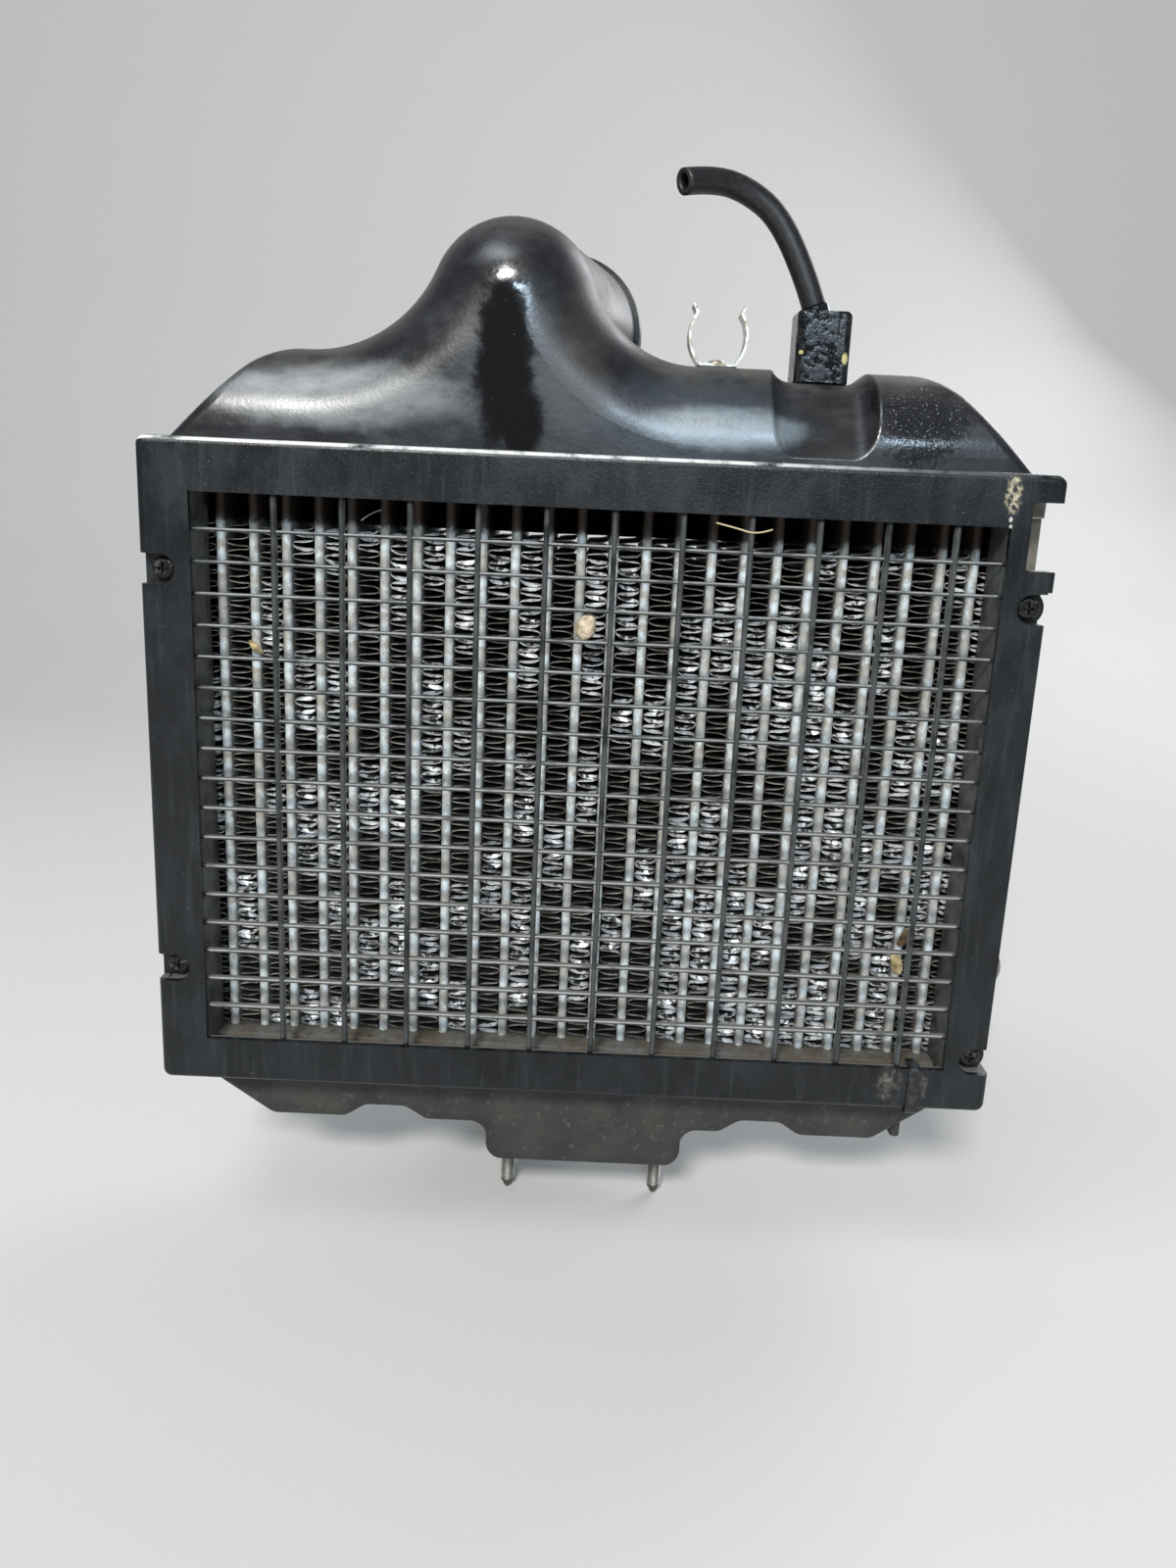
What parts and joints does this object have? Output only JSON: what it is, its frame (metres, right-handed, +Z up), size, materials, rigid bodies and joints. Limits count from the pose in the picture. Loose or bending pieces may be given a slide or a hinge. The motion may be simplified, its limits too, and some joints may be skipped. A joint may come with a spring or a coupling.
{
  "type": "intercooler",
  "caption": "Air-cooled charge cooler: flat tubes and folded fins between two plastic tanks with hose ports, behind a moulded grille, on two studs.",
  "frame": {"origin": "midway between the two studs, on the underside of the foot that they stand in", "axes": "+X across the grille to the right, +Y back through the core with the cooling air, +Z up along the tubes; the studs point along -Z"},
  "size_m": [0.2882, 0.1231, 0.3666],
  "materials": {
    "tube_aluminium": "matt, dusty",
    "fin_aluminium": "matt, dusty",
    "header_aluminium": "dull, dusty",
    "gasket_rubber": "matt",
    "frame_plastic": "satin, scuffed",
    "screw_steel": "black, worn",
    "tank_plastic": "glossy with oil",
    "lower_tank_plastic": "dusty",
    "connector_plastic": "glossy",
    "hose_rubber": "matt",
    "clip_steel": "dull",
    "strip_plastic": "glossy",
    "stud_zinc": "yellow zinc, worn"
  },
  "bodies": {
    "root": {"bottom_gasket": "gasket_rubber", "bottom_header": "header_aluminium", "bottom_tank": "lower_tank_plastic", "charge_tube_01": "tube_aluminium", "charge_tube_02": "tube_aluminium", "charge_tube_03": "tube_aluminium", "charge_tube_04": "tube_aluminium", "charge_tube_05": "tube_aluminium", "charge_tube_06": "tube_aluminium", "charge_tube_07": "tube_aluminium", "charge_tube_08": "tube_aluminium", "charge_tube_09": "tube_aluminium", "charge_tube_10": "tube_aluminium", "charge_tube_11": "tube_aluminium", "charge_tube_12": "tube_aluminium", "charge_tube_13": "tube_aluminium", "charge_tube_14": "tube_aluminium", "charge_tube_15": "tube_aluminium", "charge_tube_16": "tube_aluminium", "charge_tube_17": "tube_aluminium", "charge_tube_18": "tube_aluminium", "charge_tube_19": "tube_aluminium", "charge_tube_20": "tube_aluminium", "charge_tube_21": "tube_aluminium", "charge_tube_22": "tube_aluminium", "charge_tube_23": "tube_aluminium", "charge_tube_24": "tube_aluminium", "clip_rivet": "clip_steel", "connector_plug": "connector_plastic", "connector_socket": "connector_plastic", "cooling_fins": "fin_aluminium", "frame_screws": "screw_steel", "grille_frame": "frame_plastic", "left_side_plate": "header_aluminium", "mount_studs": "stud_zinc", "retaining_strip": "strip_plastic", "right_side_plate": "header_aluminium", "spring_clip": "clip_steel", "top_gasket": "gasket_rubber", "top_header": "header_aluminium", "top_tank": "tank_plastic", "vacuum_hose": "hose_rubber"}
  },
  "joints": []
}
